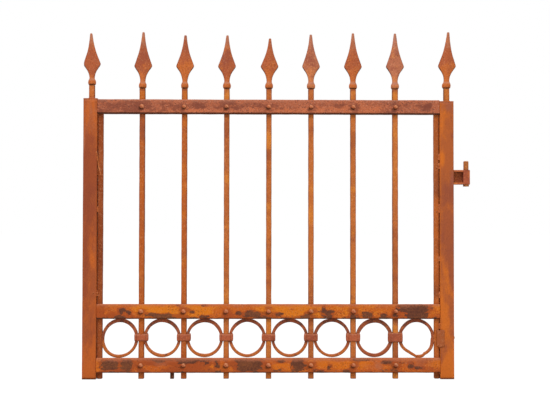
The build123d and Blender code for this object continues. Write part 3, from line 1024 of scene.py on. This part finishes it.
@dataclass(frozen=True)
class Spear:
    """A forged spear head, smoothed from rings that grow out of its seat."""

    number: int  # which head it is, from the left
    bend: float  # how far its barbs stand to the right of its seat
    lean: float  # how far its tip stands to the right of its seat
    flush: float  # height up to which fresh rust glows on it
    pale: float  # how pale and grey its tip is
    girth: float  # size of its knuckle, 1 for a large one
    barb_height: float = 61.0 * MM  # height of the barbs above the seat
    sides: int = 16  # corners of each ring
    depth: float = 5.6 * MM  # half depth of the blade at its ridge
    dents: float = 0.9 * MM  # depth of the hammer's dents
    lumps: float = 90.0  # those dents to the metre

    def sections(self, span: Span) -> list[Section]:
        """Work out the rings of the head: knuckle, flare and blade.

        Args:
            span: The box of the frame node that the head replaces.

        Returns:
            The rings from the seat upwards.
        """
        barb = span.size.x / 2
        length = span.size.z - self.barb_height
        # height above the seat and radius, in millimetres
        knuckle = ((0.0, 8.4), (0.5, 9.8), (2.8, 11.4), (7.5, 12.0), (12.5, 11.2), (16.0, 9.0), (18.6, 7.7))
        # share of the barbs' height, half width in millimetres, share of the depth and squareness
        flare = (
            (0.43, 7.9, 1.2, 1.15),
            (0.57, 9.6, 1.15, 1.45),
            (0.705, 13.0, 1.1, 1.7),
            (0.82, 17.8, 1.05, 1.85),
            (0.926, 22.6, 1.0, 1.95),
        )
        # share of the blade's length, of the barbs' half width and of the depth, and squareness
        blade = (
            (0.0, 1.05, 1.0, 2.0),
            (0.03, 1.03, 1.0, 2.0),
            (0.09, 0.94, 1.0, 2.0),
            (0.18, 0.82, 0.95, 1.95),
            (0.37, 0.55, 0.88, 1.9),
            (0.55, 0.38, 0.75, 1.8),
            (0.72, 0.26, 0.6, 1.6),
            (0.9, 0.18, 0.45, 1.4),
            (0.98, 0.15, 0.35, 1.2),
            (0.998, 0.1, 0.25, 1.2),
        )
        rings = []
        for height, radius in knuckle:
            rings.append(Section(height * MM, radius * self.girth * MM, radius * MM, 1.0))
        for part, width, thickness, squareness in flare:
            rings.append(Section(part * self.barb_height, width * MM, self.depth * thickness, squareness))
        for part, width, thickness, squareness in blade:
            height = self.barb_height + part * length
            rings.append(Section(height, barb * width, self.depth * thickness, squareness))
        return rings

    def build(self) -> None:
        """Grow the head ring by ring, sharpen its ridges and close its ends."""
        node = f"spear_{self.number}"
        span = Span.of(node)
        seat = Vector((span.middle.x, span.middle.y, span.low.z))
        first, *others = self.sections(span)
        mesh = bmesh.new()
        crease = mesh.edges.layers.float.new("crease_edge")
        soot = mesh.verts.layers.float.new(Layer.SOOT.value)
        loop = bmesh.ops.create_circle(mesh, segments=self.sides, radius=1.0, cap_ends=False)["verts"]
        edges = mesh.edges[:]
        turns = [math.atan2(v.co.y, v.co.x) for v in loop]
        self.shape(loop, turns, seat, first)
        bmesh.ops.edgeloop_fill(mesh, edges=edges)
        for section in others:
            grown = bmesh.ops.extrude_edge_only(mesh, edges=edges)["geom"]
            loop = [part for part in grown if isinstance(part, Vertex)]
            edges = [part for part in grown if isinstance(part, Edge)]
            self.shape(loop, turns, seat, section)
            for vertex, turn in zip(loop, turns):
                ridge = abs(math.sin(turn)) < 0.01
                # Painted shade under the barbs, along the blade's edges and at the seat.
                vertex[soot] = self.soot(turn, ridge, section)
                if ridge:
                    below = [e for e in vertex.link_edges if e.other_vert(vertex) not in loop]
                    below[0][crease] = max(0.0, section.squareness - 1.1)
        bmesh.ops.edgeloop_fill(mesh, edges=edges)
        hammer(mesh, self.dents, self.lumps, self.number * 1.7)
        paint(mesh, Layer.GLOW, lambda point: fade(point.z - seat.z, self.flush))
        # A painted highlight on the knuckle's top, and pale wear towards the tip.
        paint(mesh, Layer.WEAR, lambda point: self.wear((point.z - seat.z) / MM, span.size.z / MM))
        for vertex in mesh.verts:
            rise = vertex.co.z - seat.z
            climb = max(0.0, rise - self.barb_height) / (span.size.z - self.barb_height)
            vertex.co.x += self.bend * min(1.0, rise / self.barb_height) + (self.lean - self.bend) * climb
        finish = PALE_SPEAR_RUST if self.number in PALE_SPEARS else SPEAR_RUST
        keep_piece(f"forged_{node}", mesh, finish, node, subdivisions=2)

    def soot(self, turn: float, ridge: bool, section: Section) -> float:
        """Say how much painted shade a point of the head gets.

        Args:
            turn: The point's angle round the head.
            ridge: Whether it is on the left or right edge.
            section: The ring that it is on.

        Returns:
            The cover of painted shade: most under the left barb, some on the blade's edges and on the seat.
        """
        if not ridge or section.squareness <= 1.0:
            return 0.5 * fade(section.height, 9 * MM)
        if not 25 * MM < section.height < self.barb_height:
            return 0.55
        return 2.0 if math.cos(turn) < 0 else 1.4

    def wear(self, height: float, length: float) -> float:
        """Cover of a painted highlight on the knuckle's upper half and of pale wear on the tip, by height
        in millimetres.
        """
        knuckle = max(0.0, 1.0 - abs(height - 15.0) / 6.0)
        return max(0.9 * knuckle, self.pale * max(0.0, 2.2 * height / length - 1.2))

    def shape(self, loop: list[Vertex], turns: list[float], seat: Vector, section: Section) -> None:
        """Move a loop of vertices onto one ring.

        Args:
            loop: The vertices in order.
            turns: The angle of each vertex round the head.
            seat: The middle of the head's seat.
            section: The ring.
        """
        height, width, depth, squareness = section
        for vertex, turn in zip(loop, turns):
            side, front = math.cos(turn), math.sin(turn)
            x = math.copysign(abs(side) ** squareness, side) * width
            y = math.copysign(abs(front) ** squareness, front) * depth
            vertex.co = seat + Vector((x, y, height))


@dataclass(frozen=True)
class Ring:
    """A hammered hoop between two bars."""

    number: int  # which hoop it is, from the left
    dented: bool = False  # whether its foot is knocked to a point
    band: float = 8.0 * MM  # usual thickness of its band
    thickening: float = 0.22  # how much thicker the band is at the top, as a share
    unevenness: float = 0.14  # how far its thickness wanders, as a share
    rounding: float = 1.4 * MM  # radius of its edges
    dents: float = 0.5 * MM  # depth of its dents
    lumps: float = 120.0  # those dents to the metre
    steps: int = 96  # mesh faces round it
    flank: float = 54.6 * MM  # how far below the hoop's middle the straight left flank of a dent would end
    slope: float = 0.53  # how far that flank rises for each step outwards
    arc: float = 52.5 * MM  # radius of the dent's round right flank
    spread: float = 20.0 * MM  # how far that radius grows towards the foot
    sag: float = 1.4 * MM  # how far the hoop's middle has dropped and its foot with it, twice as far
    drop: float = 0.0  # how much further its foot hangs down
    shift: float = 0.0  # how far the hoop stands to the right of its place
    bulge: float = 0.0  # how far it bulges towards the lower left
    fresh: float = 1.0  # how brightly its lower half glows, as fresh rust and as painted light from above

    def outer_radius(self, turn: float, half: Vector, foot: float) -> float:
        """Distance from the hoop's middle to its outer edge.

        Args:
            turn: Angle round the hoop, 0 to the right and positive upwards.
            half: Half the width and height of a round hoop.
            foot: How far below its middle this hoop ends.

        Returns:
            The distance in metres.
        """
        side, up = math.cos(turn), math.sin(turn)
        if self.dented and up < 0:
            # 0 on the straight left flank and 1 on the round right one, with a short passage at the foot
            right = min(1.0, max(0.0, 0.2 + 2.0 * side))
            left_flank = (self.slope * abs(side) - up) / self.flank
            right_flank = 1.0 / (self.arc + self.spread * max(0.0, 1.0 - side / 0.45))
            round_side = min(1.0, -2.5 * side) if side < 0 else side
            limits = (round_side / half.x, left_flank + right * (right_flank - left_flank), -up / foot)
            # the band follows the nearest limit, and is rounded where two of them meet
            sharpness = 24 - 10 * right
            return sum(limit**sharpness for limit in limits) ** (-1 / sharpness)
        lower_left = max(0.0, -side * math.sqrt(0.5) - up * math.sqrt(0.5))
        return 1.0 / math.hypot(side / half.x, up / half.z) + self.bulge * lower_left**3

    def build(self) -> None:
        """Spin the band, shape it and darken its upper half with old scale and painted shade."""
        node = f"ring_{self.number}"
        span = Span.of(node)
        hoop = Span.of("ring_1")
        middle = Vector((span.middle.x + self.shift, span.middle.y, hoop.middle.z - self.sag))
        half = Vector((span.size.x / 2, 0.0, hoop.size.z / 2 + self.sag))
        foot = middle.z - span.low.z + self.drop
        mesh = bmesh.new()
        outline = [Vector(corner) for corner in ((2, -1, 0), (2, 1, 0), (1, 1, 0), (1, -1, 0))]
        spin_round(mesh, outline, Vector(), self.steps, closed=True)
        for vertex in mesh.verts:
            turn = math.atan2(vertex.co.z, vertex.co.x)
            inner = 2.0 - math.hypot(vertex.co.x, vertex.co.z)
            wander = noise.noise(Vector((math.cos(turn), math.sin(turn), self.number * 3.1)) * 1.6)
            top = max(0.0, math.sin(turn)) ** 2
            band = self.band * (1.0 + self.thickening * top + self.unevenness * wander)
            radius = self.outer_radius(turn, half, foot) - inner * band
            reach = Vector((math.cos(turn) * radius, 0.0, math.sin(turn) * radius))
            vertex.co = middle + reach + Vector((0.0, vertex.co.y * span.size.y / 2, 0.0))
        hammer(mesh, self.dents, self.lumps, self.number * 2.3)
        # Upper half darker: old scale and painted shade under the rail.
        paint(mesh, Layer.SCALE, lambda point: 0.42 * max(0.0, (point.z - middle.z) / half.z))
        # Lower half brighter: fresh rust and painted light from above.
        paint(mesh, Layer.GLOW, lambda point: self.fresh * max(0.0, (middle.z - point.z) / half.z))
        keep_piece(f"forged_{node}", mesh, RING_RUST, node, rounding=self.rounding)


@dataclass(frozen=True)
class Collar:
    """A strap bent round a picket and two hoops."""

    number: int  # which collar it is, from the left
    strip: float = 2.4 * MM  # thickness of the strap
    corner: float = 3.6 * MM  # radius of its bends
    seam: float = 1.2 * MM  # width of the open seam at its back
    crown: float = 1.0 * MM  # how far its ends draw in at its upper and lower edge
    dip: float = 1.8 * MM  # how far those edges are hammered in at the middle of its front
    dip_reach: float = 11 * MM  # half the width of that hammered part
    wing: float = 12 * MM  # how far from its middle the strap is creased round the hoops
    rounding: float = 0.7 * MM  # radius of its edges
    dents: float = 0.6 * MM  # depth of its dents
    lumps: float = 70.0  # those dents to the metre

    def build(self) -> None:
        """Bend the strap, open its seam, crown it and thicken it."""
        node = f"collar_{self.number}"
        span = Span.of(node)
        mesh = bend_tube(span, self.corner, 5)
        self.open_seam(mesh, span)
        bmesh.ops.subdivide_edges(mesh, edges=edges_along(mesh, 2, span.size.z / 2), cuts=7)
        front = [e for e in edges_along(mesh, 0, span.size.x / 3) if e.verts[0].co.y < span.middle.y]
        bmesh.ops.subdivide_edges(mesh, edges=front, cuts=9, use_grid_fill=True)
        for vertex in mesh.verts:
            off = vertex.co - span.middle
            rim = abs(off.z) / (span.size.z / 2)
            vertex.co.x -= math.copysign(self.crown * rim**4, off.x)
            if off.y < 0:
                inner = max(0.0, 1.0 - (off.x / self.dip_reach) ** 2)
                vertex.co.z -= math.copysign(self.dip * inner * rim**2, off.z)
        bmesh.ops.recalc_face_normals(mesh, faces=mesh.faces[:])
        bmesh.ops.solidify(mesh, geom=mesh.faces[:], thickness=self.strip)
        hammer(mesh, self.dents, self.lumps, self.number * 1.3)
        # A painted highlight along the upper edge.
        paint(mesh, Layer.WEAR, lambda point: fade(span.high.z - point.z, 7 * MM))
        # Painted shade on the lower edge and in the creases.
        paint(mesh, Layer.SOOT, lambda point: self.soot(point, span))
        keep_piece(f"forged_{node}", mesh, COLLAR_RUST, node, rounding=self.rounding)

    def open_seam(self, mesh: Mesh, span: Span) -> None:
        """Cut a narrow gap in the strap's back.

        Args:
            mesh: The strap, still without thickness.
            span: The box that it fills.
        """
        for side in Side:
            cut = span.middle + Vector((side.value * self.seam / 2, 0.0, 0.0))
            back = [f for f in mesh.faces if f.calc_center_median().y > span.high.y - self.strip]
            edges = dict.fromkeys(e for f in back for e in f.edges)
            corners = dict.fromkeys(v for f in back for v in f.verts)
            geometry = [*back, *edges, *corners]
            bmesh.ops.bisect_plane(mesh, geom=geometry, plane_co=cut, plane_no=(1.0, 0.0, 0.0))
        offsets = [(f, f.calc_center_median() - span.middle) for f in mesh.faces]
        gap = [f for f, off in offsets if off.y > 0 and abs(off.x) < self.seam / 2]
        bmesh.ops.delete(mesh, geom=gap, context="FACES")

    def soot(self, point: Vector, span: Span) -> float:
        """Cover of painted shade on the lower edge and in the creases round the hoops."""
        crease = fade(abs(abs(point.x - span.middle.x) - self.wing), 3 * MM)
        return max(0.8 * fade(point.z - span.low.z, 5 * MM), 0.5 * crease)


@dataclass(frozen=True)
class RivetRow:
    """The rivets of one rail: round heads in front and flatter tails behind."""

    name: str  # the row's frame node without its ending
    radius: float = 6.6 * MM  # radius of a head
    head_height: float = 4.1 * MM  # height of a head
    tail_height: float = 2.4 * MM  # height of a tail
    dents: float = 0.6 * MM  # depth of their dents
    lumps: float = 170.0  # those dents to the metre
    steps: int = 14  # mesh faces round each

    def add_dome(self, mesh: Mesh, seat: Vector, height: float, chance: random.Random) -> None:
        """Spin one hammered dome.

        Args:
            mesh: The mesh to add to.
            seat: The middle of the dome's seat.
            height: Height of the dome, negative towards the front.
            chance: Source of its unevenness.
        """
        radius = self.radius * chance.uniform(0.94, 1.08)
        turns = [math.radians(angle) for angle in (-6, 10, 35, 60, 80, 90)]
        offsets = [Vector((radius * math.cos(turn), height * math.sin(turn), 0.0)) for turn in turns]
        spin_round(mesh, [seat + offset for offset in offsets], seat, self.steps)

    def build(self) -> None:
        """Make every rivet of the row, with painted shade at its lower left and a painted highlight at its
        upper right.
        """
        node = f"{self.name}_rivets"
        front = Span.of(f"{self.name}_rail").low.y
        back = Span.of("picket_1").high.y
        level = Span.of(node).middle.z
        places = [Span.of(f"picket_{number}").middle.x for number in PICKETS]
        chance = random.Random(self.name)
        mesh = bmesh.new()
        for place in places:
            self.add_dome(mesh, Vector((place, front, level)), -self.head_height, chance)
            self.add_dome(mesh, Vector((place, back, level)), self.tail_height, chance)
        bmesh.ops.remove_doubles(mesh, verts=mesh.verts[:], dist=0.01 * MM)
        bmesh.ops.holes_fill(mesh, edges=mesh.edges[:], sides=0)
        bmesh.ops.recalc_face_normals(mesh, faces=mesh.faces[:])
        hammer(mesh, self.dents, self.lumps, level * 10)
        # Painted shade on the lower left of each head.
        paint(mesh, Layer.SOOT, lambda spot: 1.4 * max(0.0, -self.rise(spot, places, level) - 0.3))
        # Painted highlight on the upper right of each head.
        paint(mesh, Layer.WEAR, lambda spot: 1.2 * fade(abs(self.rise(spot, places, level) - 0.45), 0.5))
        keep_piece(f"forged_{node}", mesh, RIVET_RUST, node, subdivisions=1)

    def rise(self, point: Vector, places: list[float], level: float) -> float:
        """How far towards its rivet's upper right a point lies, 0 at the middle and 1 at the rim."""
        across = min((point.x - place for place in places), key=abs)
        return (across + point.z - level) / (math.sqrt(2) * self.radius)


@dataclass(frozen=True)
class Welds:
    """Lumpy weld beads that tie the old panel to the posts."""

    side: Side  # the side of the leaf that they are on
    radius: float = 3.0 * MM  # usual radius of a lump
    short: float = 20.0 * MM  # length below which a bead comes up to the bar's face
    dents: float = 0.8 * MM  # depth of the lumps' dents
    grain: float = 300.0  # those dents to the metre

    @property
    def node(self) -> str:
        """The frame node that holds the beads."""
        return f"{self.side.word}_welds"

    @property
    def bar(self) -> Span:
        """The box of the bar beside the post."""
        return Span.of(f"{self.side.word}_inner_bar")

    def runs(self) -> list[tuple[float, float]]:
        """Find the lowest and highest point of each bead in the frame."""
        levels = sorted({round(v.co.z, 4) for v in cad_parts[self.node].data.vertices})
        return list(zip(levels[::2], levels[1::2]))

    def strays(self, slit: float) -> list[tuple[Vector, Vector, float]]:
        """Place the welder's stray runs and blobs, by their heights above the middle rail.

        Args:
            slit: Middle of the slit along X.

        Returns:
            Start, end and radius of each.
        """
        bar = self.bar
        post = Span.of(f"{self.side.word}_post")
        level = Span.of("middle_rail").middle.z
        face = bar.low.y
        if self.side is Side.LEFT:
            lip = Vector((post.high.x - 1 * MM, post.low.y + 1 * MM, level + 432 * MM))
            bend = Vector((slit + 2 * MM, face, level + 398 * MM))
            tail = Vector((bar.middle.x + 1 * MM, face, level + 370 * MM))
            nick = Vector((post.middle.x + 10 * MM, post.low.y, level + 50 * MM))
            nick_end = nick + Vector((2 * MM, 0.0, 1 * MM))
            return [(lip, bend, 2.2 * MM), (bend, tail, 2.3 * MM), (nick, nick_end, 1.5 * MM)]
        # place along X and Y, lowest and highest point, and radius
        runs = (
            (slit, face, 417, 420, 3.0),
            (bar.middle.x, face, 393, 395, 2.0),
            (bar.middle.x, face, 271, 273, 1.8),
            (slit, face, 139, 146, 2.8),
            (bar.low.x, face + 3 * MM, -82, -66, 2.4),
            (slit, face, -44, -35, 3.0),
            (post.high.x, post.low.y + 4 * MM, -72, -69, 1.6),
        )
        return [
            (Vector((x, y, level + low * MM)), Vector((x, y, level + high * MM)), radius * MM)
            for x, y, low, high, radius in runs
        ]

    def build(self) -> None:
        """Lay the beads in the slit and round the foot of the outer stem, and the stray ones."""
        chance = random.Random(self.node)
        span = Span.of(self.node)
        stem = Span.of(f"{self.side.word}_stem")
        mesh = bmesh.new()
        slit = Vector((span.middle.x, span.low.y + 2 * MM, 0.0))
        proud = Vector((span.middle.x, self.bar.low.y, 0.0))
        for low, high in self.runs():
            for line in (slit, proud) if high - low < self.short else (slit,):
                add_bead(mesh, line + low * UP, line + high * UP, self.radius, chance)
        foot = Vector((stem.middle.x, stem.middle.y, stem.low.z))
        reach = stem.size.x / 2
        around = ((-1, -1), (1, -1), (1, 1), (-1, 1))
        corners = [foot + Vector((x * reach, y * reach, 0.0)) for x, y in around]
        for start, end in zip(corners, [*corners[1:], corners[0]]):
            add_bead(mesh, start, end, self.radius * 0.8, chance)
        for start, end, radius in self.strays(slit.x):
            add_bead(mesh, start, end, radius, chance)
        hammer(mesh, self.dents, self.grain, span.middle.x * 10)
        keep_piece(f"lumpy_{self.node}", mesh, WELD_RUST, self.node)


@dataclass(frozen=True)
class TiePlate:
    """A hammered scrap of plate that fills the step beside the right post, with a rounded foot."""

    node: str = "tie_plate"  # the frame node that it replaces
    edge: float = 0.8 * MM  # radius of its edges
    foot: float = 6.0 * MM  # radius of the corners of its foot
    lip: float = 1.8 * MM  # thickness of the part that laps onto the post
    dents: float = 1.0 * MM  # depth of its dents
    lumps: float = 110.0  # those dents to the metre

    def build(self) -> None:
        """Make the plate, round its foot and sink its inner part into the step."""
        span = Span.of(self.node)
        post = Span.of("right_post")
        mesh = bmesh.new()
        add_block(mesh, Span(span.low, Vector((span.high.x, span.low.y + self.lip, span.high.z))))
        corners = [e for e in edges_along(mesh, 1, self.lip / 2) if e.verts[0].co.z < span.middle.z]
        round_off(mesh, corners, self.foot, 4)
        round_off(mesh, mesh.edges[:], self.edge, 2)
        tall = edges_along(mesh, 2, span.size.z / 3)
        bmesh.ops.subdivide_edges(mesh, edges=tall, cuts=8, use_grid_fill=True)
        sunk = Span(
            Vector((span.low.x + self.edge, span.low.y + self.lip / 2, span.low.z + self.foot)),
            Vector((post.low.x, span.high.y, span.high.z - self.edge)),
        )
        add_block(mesh, sunk)
        hammer(mesh, self.dents, self.lumps, 4.0)
        keep_piece("hammered_tie_plate", mesh, TIE_RUST, self.node)


@dataclass(frozen=True)
class Studio:
    """Camera, lights, white surroundings and a pale floor."""

    distance: float = 2.5  # distance of the camera in front of the hinge pin
    height: float = -0.15435  # its height, measured from the origin
    sideways: float = -0.5574  # its place along X
    pitch: float = math.radians(1.254)  # how far it looks up
    turn: float = math.radians(0.748)  # how far it looks to the right
    roll: float = math.radians(0.082)  # how far it leans
    lens_pixels: float = 912.8  # length of its lens in pixels of the picture
    picture_width: int = 550  # width of the picture in pixels
    ambient: float = 0.75  # light from above
    bounce: float = 0.1  # light from below
    key_power: float = 180.0  # power of the front lamp in watts
    back_power: float = 144.0  # power of the lamp behind
    lamp_size: float = 2.4  # length of a lamp's side
    floor_colour: Colour = (0.7, 0.7, 0.69)  # colour of the floor
    floor_middle: float = -0.5  # its middle along X
    floor_reach: float = 40.0  # how far it reaches to each side
    floor_gap: float = 0.5 * MM  # how far below the feet it lies
    floor_white: float = 1.1  # brightness of its white, before the shadow is mixed in
    floor_cover: float = 0.85  # share of that white

    def build(self) -> None:
        """Set everything up."""
        bpy.context.scene.view_settings.view_transform = "Standard"
        self.add_camera()
        self.add_surroundings()
        self.add_floor()
        self.add_lamp("key", Vector((-0.8, -3.2, 4.6)), self.key_power)
        self.add_lamp("back", Vector((0.8, 3.2, 4.6)), self.back_power)

    def add_camera(self) -> None:
        """Put the camera where the photograph was taken from."""
        data = bpy.data.cameras.new("camera")
        data.sensor_width = 36.0
        data.lens = self.lens_pixels * data.sensor_width / self.picture_width
        camera = link("camera", data)
        camera.location = (self.sideways, -self.distance, self.height)
        camera.rotation_euler = (math.pi / 2 + self.pitch, -self.roll, -self.turn)
        bpy.context.scene.camera = camera

    def add_lamp(self, name: str, place: Vector, power: float) -> None:
        """Hang a square soft lamp that faces the leaf.

        Args:
            name: The lamp's name.
            place: Where it hangs, measured from the leaf's middle.
            power: Its power in watts.
        """
        data = bpy.data.lights.new(name, "AREA")
        data.size = self.lamp_size
        data.energy = power
        lamp = link(name, data)
        lamp.location = Span.of("middle_rail").middle + place
        lamp.rotation_euler = (-place).to_track_quat("-Z", "Y").to_euler()

    def seen(self, tree: ShaderTree) -> Signal:
        """Tell the rays that show the surroundings from those that light the leaf.

        Args:
            tree: The tree to draw in.

        Returns:
            1 on the first and 0 on the second.
        """
        kinds = ("Is Camera Ray", "Is Glossy Ray", "Is Transmission Ray")
        camera, glossy, through = (tree.add("ShaderNodeLightPath", output=kind) for kind in kinds)
        return camera.highest(glossy).highest(through)

    def add_surroundings(self) -> None:
        """Make the world white to look at and a plain soft light."""
        world = bpy.data.worlds.new("white")
        bpy.context.scene.world = world
        tree = ShaderTree(world)
        towards = tree.add("ShaderNodeTexCoord", output="Generated")
        above = tree.add("ShaderNodeSeparateXYZ", None, {0: towards}, "Z").step(-0.6, 0.8)
        shade = above * (self.ambient - self.bounce) + self.bounce
        light = tree.add("ShaderNodeBackground", None, {"Color": WHITE, "Strength": shade})
        white = tree.add("ShaderNodeBackground", None, {"Color": WHITE, "Strength": 1.0})
        mixed = tree.add("ShaderNodeMixShader", None, {0: self.seen(tree), 1: light, 2: white})
        tree.add("ShaderNodeOutputWorld", None, {"Surface": mixed})

    def add_floor(self) -> None:
        """Lay a wide pale floor under the feet that keeps a faint shadow."""
        mesh = bmesh.new()
        feet = Span.of("left_post").low.z
        placed = Matrix.Translation((self.floor_middle, 0.0, feet - self.floor_gap))
        bmesh.ops.create_grid(mesh, x_segments=1, y_segments=1, size=self.floor_reach, matrix=placed)
        floor = settle("floor", mesh)
        material = bpy.data.materials.new("pale_floor")
        tree = ShaderTree(material)
        plain = tree.add("ShaderNodeBsdfDiffuse", None, {"Color": (*self.floor_colour, 1.0)})
        white = tree.add("ShaderNodeEmission", None, {"Color": WHITE, "Strength": self.floor_white})
        cover = self.seen(tree) * self.floor_cover
        mixed = tree.add("ShaderNodeMixShader", None, {0: cover, 1: plain, 2: white})
        tree.add("ShaderNodeOutputMaterial", None, {"Surface": mixed})
        floor.data.materials.append(material)
        floor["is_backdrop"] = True


def rails() -> list[Stock]:
    """Describe the three rails, with a stain round each rivet and a painted shadow at its lower left.

    Returns:
        The rails from the bottom up.
    """
    middle = Span.of("middle_rail").middle.x
    places = [(Span.of(f"picket_{number}").middle.x - middle) / MM for number in PICKETS]
    halos = tuple(Patch(place, -2, 13, 11, 0.5) for place in places)
    # A painted shadow at the lower left of each rivet head.
    rivet_shadows = tuple(Patch(place - 4, -5, 6, 5, 0.75) for place in places)
    shared = {"steps": (4 * MM, 4 * MM, 4 * MM), "edge": 2.4 * MM, "swell": 0.2 * MM}
    bottom_edges = {"edging": 1.15, "flaking": 0.28, "underline": 0.7}
    middle_edges = {"edging": 0.75, "flaking": 0.5, "underline": 0.8}
    top_edges = {"edging": 0.6, "underline": 2.2}
    rows = (
        ("bottom_rail", BOTTOM_RAIL_RUST, BOTTOM_RAIL_PATCHES, bottom_edges),
        ("middle_rail", MIDDLE_RAIL_RUST, MIDDLE_RAIL_PATCHES, middle_edges),
        ("top_rail", TOP_RAIL_RUST, TOP_RAIL_PATCHES, top_edges),
    )
    bars = []
    for node, finish, patches, edges in rows:
        marks = {**patches, Layer.STAIN: halos + patches[Layer.STAIN], Layer.SOOT: rivet_shadows}
        bars.append(Stock(node, finish, patches=marks, **shared, **edges))
    return bars


def uprights() -> list[Stock]:
    """Describe the pickets, the stems on the posts, the bars beside the posts and the peg.

    Returns:
        Those bars.
    """
    bars = []
    for number in PICKETS:
        finish = DARK_BAR_RUST if number in DARK_PICKETS else BAR_RUST
        stains = (*PICKET_STAINS.get(number, ()), PAINTED_KNUCKLE_SHADOW)
        glows = (STEM_GLOW,) if number in BRIGHT_STEMS else ()
        marks = {Layer.STAIN: stains, Layer.GLOW: glows}
        top = Span.of(f"spear_{number + 1}").low.z
        bars.append(
            Stock(f"picket_{number}", finish, patches=marks, top=top, swell=0.35 * MM, upset=0.4 * MM)
        )
    for node, spear in (("left_stem", min(SPEARS)), ("right_stem", max(SPEARS))):
        bars.append(Stock(node, BAR_RUST, top=Span.of(f"spear_{spear}").low.z, upset=0.5 * MM))
    worn = {"rim": 0.0, "swell": -0.6 * MM}
    bars.append(Stock("left_inner_bar", LEFT_INNER_SHADED_RUST, **worn))
    bars.append(Stock("right_inner_bar", RIGHT_INNER_RUST, patches=RIGHT_INNER_PATCHES, **worn))
    bars.append(Stock("stop_peg", PEG_SHADE_RUST))
    return bars


def spears() -> list[Spear]:
    """Describe the spear heads, each one bent and rusted in its own way.

    Returns:
        The heads from the left.
    """
    bends = (-0.6, 1.5, 0.8, 0.0, 1.5, 0.0, -0.2, 0.2, 2.0)
    leans = (-3.2, 1.8, 1.6, 1.2, 2.8, -0.6, 0.0, 0.4, 6.0)
    flushes = (50, 70, 105, 50, 80, 70, 55, 45, 90)
    tips = (0.9, 0.9, 0.3, 0.8, 0.4, 0.7, 1.1, 1.0, 0.9)
    girths = (0.92, 0.92, 0.88, 0.95, 0.95, 1.0, 0.97, 0.98, 1.04)
    odd = {1: {"barb_height": 57.5 * MM}}
    return [
        Spear(number, bend * MM, lean * MM, flush * MM, pale, girth, **odd.get(number, {}))
        for number, bend, lean, flush, pale, girth in zip(SPEARS, bends, leans, flushes, tips, girths)
    ]


def hoops() -> list[Ring]:
    """Describe the rings, three of them out of shape.

    Returns:
        The rings from the left.
    """
    shifts = (-1.5, -1.2, -1.4, -0.5, 0.0, -0.3, 0.0, 1.2)
    odd = {
        1: {"bulge": 4.0 * MM},
        7: {"band": 9.2 * MM, "fresh": -0.4},
        8: {"dented": True, "drop": 3.0 * MM},
    }
    return [Ring(number, shift=shift * MM, **odd.get(number, {})) for number, shift in zip(RINGS, shifts)]


def main() -> None:
    """Build the scene piece by piece."""
    logging.basicConfig(level=logging.INFO)
    pieces = [
        Studio(),
        Post(Side.LEFT, LEFT_POST_RUST, LEFT_POST_PATCHES),
        Post(Side.RIGHT, RIGHT_POST_RUST, RIGHT_POST_PATCHES),
        *rails(),
        *uprights(),
        *spears(),
        *hoops(),
        *[Collar(number) for number in PICKETS],
        *[RivetRow(row) for row in ("bottom", "middle", "top")],
        *[Welds(side) for side in Side],
        TiePlate(),
    ]
    for piece in pieces:
        piece.build()
    hinge = {"hinge_bracket": HINGE_RUST, "hinge_block": BLOCK_RUST, "hinge_pin": PIN_RUST}
    for node, finish in hinge.items():
        dress(node, finish)
    boxes = {"cad": CAD_BOX, "visual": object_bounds()}
    {name: [list(corner) for corner in box] for name, box in boxes.items()}


if __name__ == "__main__":
    main()
